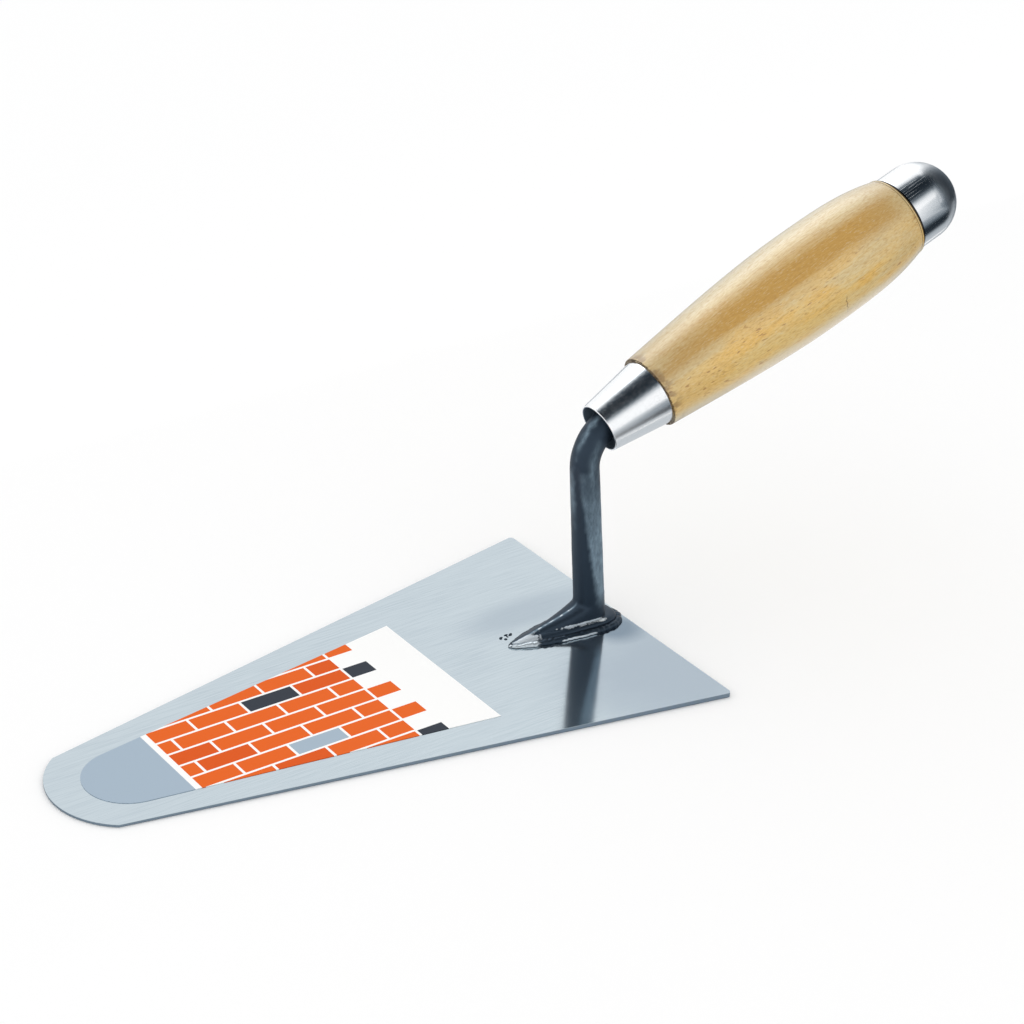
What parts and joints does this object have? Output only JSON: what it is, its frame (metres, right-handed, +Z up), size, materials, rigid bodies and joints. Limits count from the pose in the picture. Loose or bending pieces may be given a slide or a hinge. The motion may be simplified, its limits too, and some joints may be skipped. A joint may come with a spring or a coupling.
{
  "type": "brick trowel",
  "caption": "Mason's round-tip trowel: tapered steel blade on a welded cranked shank, with a turned wooden handle between a metal ferrule and a domed end cap.",
  "frame": {"origin": "on the blade's underside, directly below the shank's axis and on the blade's centre line", "axes": "+X towards the blade's tip, +Y to the left of the tip's direction, +Z up from the blade to the handle"},
  "size_m": [0.3269, 0.1174, 0.1304],
  "materials": {
    "blade_steel": "fine brushed, half mirror",
    "forged_steel": "dark blued forging, half gloss",
    "weld_metal": "rough weld, partly ground",
    "plated_sheet": "polished nickel plate",
    "beech": "clear satin lacquer",
    "label_film": "printed film, satin"
  },
  "bodies": {
    "root": {"blade": "blade_steel", "shank": "forged_steel", "weld_bead": "weld_metal", "ferrule": "plated_sheet", "grip": "beech", "end_cap": "plated_sheet", "blade_label": "label_film"}
  },
  "joints": []
}
